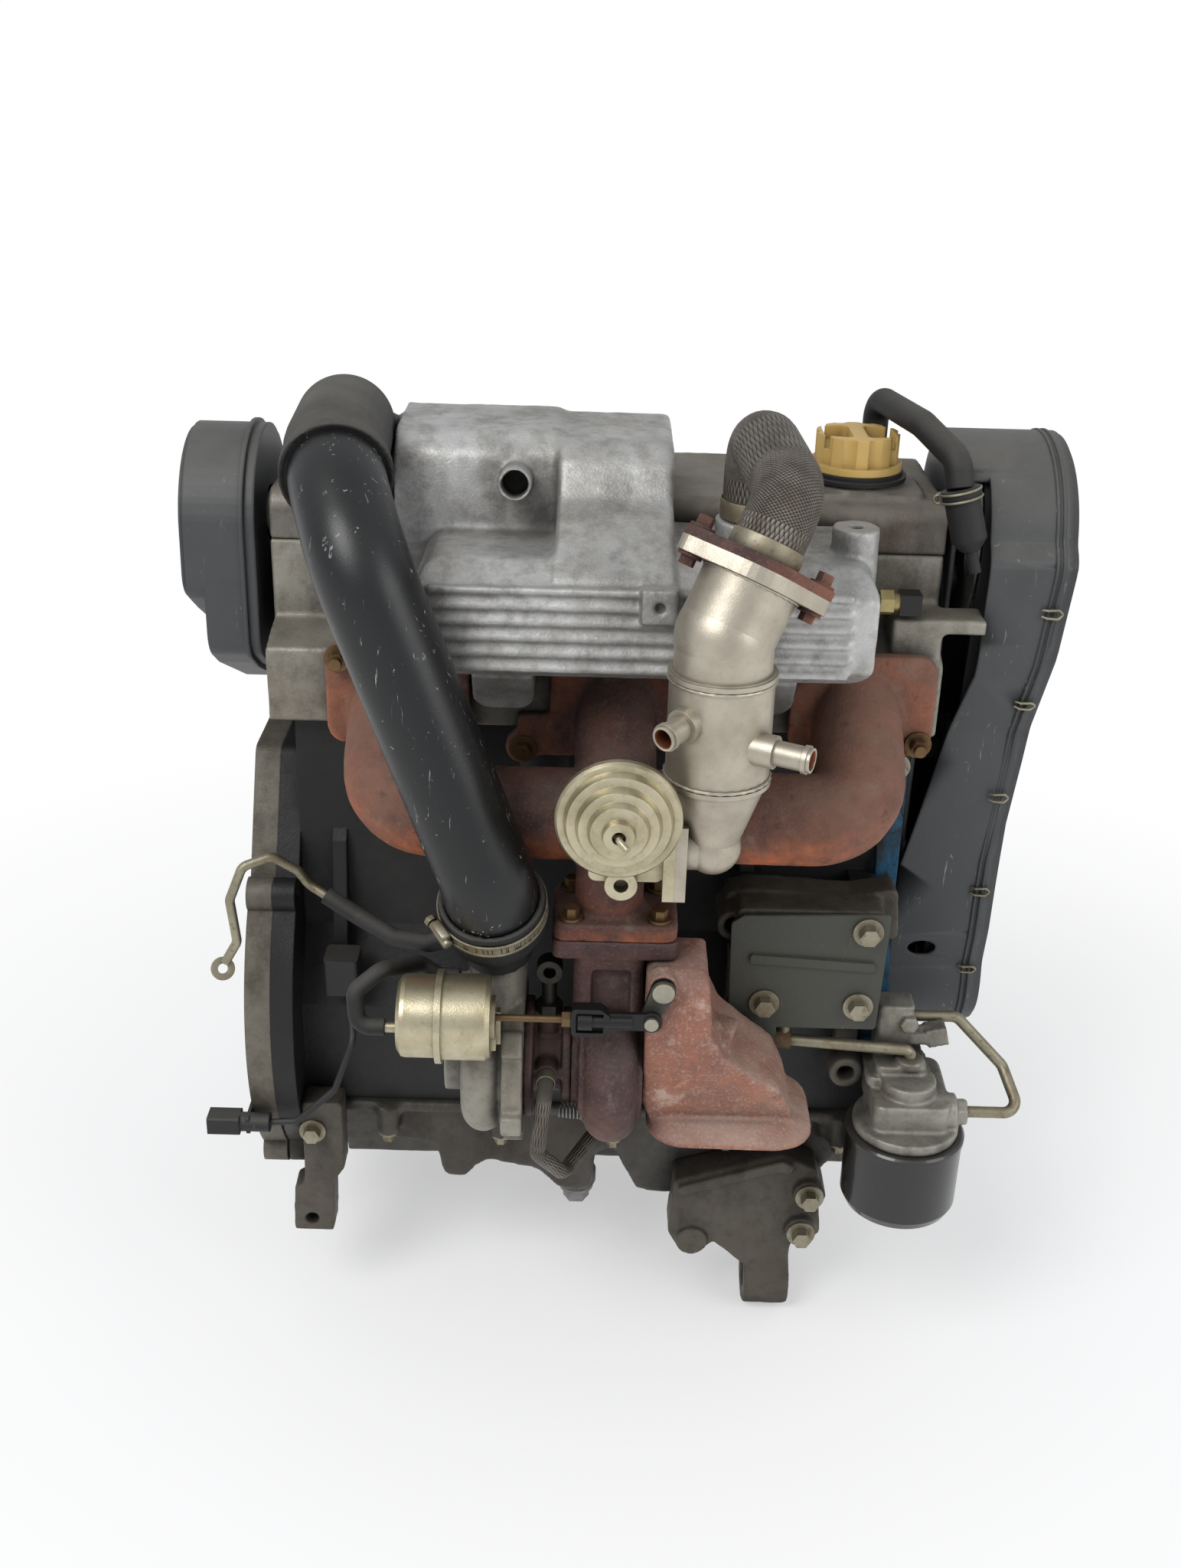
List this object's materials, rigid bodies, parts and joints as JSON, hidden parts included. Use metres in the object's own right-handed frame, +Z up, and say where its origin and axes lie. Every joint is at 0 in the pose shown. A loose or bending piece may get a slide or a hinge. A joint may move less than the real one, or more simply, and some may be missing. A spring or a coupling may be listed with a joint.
{
  "type": "car engine",
  "caption": "Turbo-diesel inline car engine with belt covers, inlet plenum, exhaust turbocharger, gas cooler, oil filter and open flywheel end.",
  "frame": {"origin": "on the crankshaft axis at the gearbox face of the adapter plate", "axes": "+X along the crankshaft towards the belt end, -Y towards the exhaust side, +Z up"},
  "size_m": [0.6, 0.5223, 0.695],
  "materials": {
    "head_alloy": "sand cast, stained",
    "inlet_alloy": "sand cast, dusty",
    "block_paint": "dark painted casting",
    "oily_alloy": "rough casting, oily",
    "machined_steel": "machined",
    "zinc_bolts": "zinc plated, dull",
    "rusty_iron": "rusted casting",
    "turbine_iron": "heat tinted casting",
    "cover_plastic": "dull moulded plastic",
    "pipe_plastic": "satin black, scuffed",
    "black_rubber": "dull rubber",
    "sensor_plastic": "dull black",
    "cap_plastic": "faded yellow plastic",
    "gold_zinc": "gold passivated pressing",
    "cooler_steel": "dull stainless",
    "steel_braid": "woven braid",
    "bracket_iron": "oily casting",
    "shield_paint": "worn paint on sheet steel",
    "filter_paint": "gloss black paint, dusty",
    "pipe_steel": "bare steel tube",
    "sensor_brass": "dull brass",
    "pump_alloy": "pressure cast"
  },
  "bodies": {
    "engine": {"cylinder_block": "block_paint", "sump": "oily_alloy", "flange_bolts": "zinc_bolts", "drain_plug": "machined_steel", "gearbox_adapter_plate": "oily_alloy", "rear_leg_bracket": "bracket_iron", "head_gasket": "machined_steel", "cylinder_head": "head_alloy", "cam_cover": "head_alloy", "filler_seal": "black_rubber", "inlet_manifold": "inlet_alloy", "exhaust_manifold": "rusty_iron", "exhaust_manifold_nuts": "rusty_iron", "turbine_housing": "turbine_iron", "turbine_outlet_elbow": "rusty_iron", "bearing_housing": "turbine_iron", "compressor_housing": "head_alloy", "actuator_canister": "gold_zinc", "oil_banjo": "sensor_brass", "oil_drain_hose": "steel_braid", "egr_valve": "gold_zinc", "egr_cooler": "cooler_steel", "egr_flange_plate": "rusty_iron", "egr_flexible_pipe": "steel_braid", "intake_pipe": "pipe_plastic", "intake_elbow": "pipe_plastic", "intake_cuff": "black_rubber", "hose_clamp": "zinc_bolts", "timing_cover": "cover_plastic", "timing_cover_outer": "cover_plastic", "timing_belt": "black_rubber", "pump_drive_cover": "cover_plastic", "pump_belt": "black_rubber", "injection_pump": "pump_alloy", "injectors": "machined_steel", "breather_valve": "black_rubber", "temperature_sensor": "sensor_brass", "shield_bracket": "shield_paint", "block_bracket": "bracket_iron", "oil_filter_head": "pump_alloy", "oil_filter": "filter_paint", "oil_pipes": "pipe_steel", "crank_sensor": "sensor_plastic", "vacuum_pipe": "pipe_steel", "vacuum_hoses": "black_rubber", "mount_bracket": "bracket_iron"},
    "crank": {"crankshaft": "machined_steel", "flywheel": "machined_steel", "ring_gear": "rusty_iron", "crank_sprocket": "machined_steel"},
    "camshaft_train": {"camshaft": "machined_steel", "cam_sprocket": "machined_steel", "pump_drive_pulley": "machined_steel"},
    "pump_shaft": {"pump_pulley": "machined_steel"},
    "tensioner": {"tensioner_pulley": "machined_steel"},
    "turbo_rotor": {"turbine_wheel": "machined_steel", "compressor_wheel": "head_alloy"},
    "wastegate_arm": {"wastegate_lever": "machined_steel"},
    "wastegate_link": {"wastegate_rod": "gold_zinc"},
    "filler_cap": {"oil_filler_cap": "cap_plastic"}
  },
  "joints": [
    {"name": "crank_spin", "type": "hinge", "parent": "engine", "child": "crank", "pos_m": [0, 0, 0], "axis": [1, 0, 0], "continuous": true},
    {"name": "cam_spin", "type": "hinge", "parent": "engine", "child": "camshaft_train", "pos_m": [0, 0, 0.352], "axis": [1, 0, 0], "continuous": true},
    {"name": "pump_spin", "type": "hinge", "parent": "engine", "child": "pump_shaft", "pos_m": [0, 0.158, 0.25], "axis": [1, 0, 0], "continuous": true},
    {"name": "tensioner_spin", "type": "hinge", "parent": "engine", "child": "tensioner", "pos_m": [0.5, -0.024, 0.196], "axis": [1, 0, 0], "continuous": true},
    {"name": "turbo_spin", "type": "hinge", "parent": "engine", "child": "turbo_rotor", "pos_m": [0.21, -0.195, 0.038], "axis": [1, 0, 0], "continuous": true},
    {"name": "wastegate_swing", "type": "hinge", "parent": "engine", "child": "wastegate_arm", "pos_m": [0.287, -0.243, 0.122], "axis": [0, -1, 0], "range_deg": [0, 21.6], "stiffness_Nm_per_rad": 1},
    {"name": "rod_pivot", "type": "hinge", "parent": "wastegate_arm", "child": "wastegate_link", "pos_m": [0.27988, -0.253, 0.10438], "axis": [0, -1, 0], "range_deg": [-21.6, 0]},
    {"name": "cap_turn", "type": "hinge", "parent": "engine", "child": "filler_cap", "pos_m": [0.412, -0.016, 0.4], "axis": [0, 0, 1], "range_deg": [0, 90]}
  ],
  "couplings": [
    {"joint": "cam_spin", "follows": "crank_spin", "ratio": 0.5},
    {"joint": "pump_spin", "follows": "crank_spin", "ratio": 0.5},
    {"joint": "tensioner_spin", "follows": "crank_spin", "ratio": 1.1538},
    {"joint": "rod_pivot", "follows": "wastegate_swing", "ratio": -1}
  ]
}
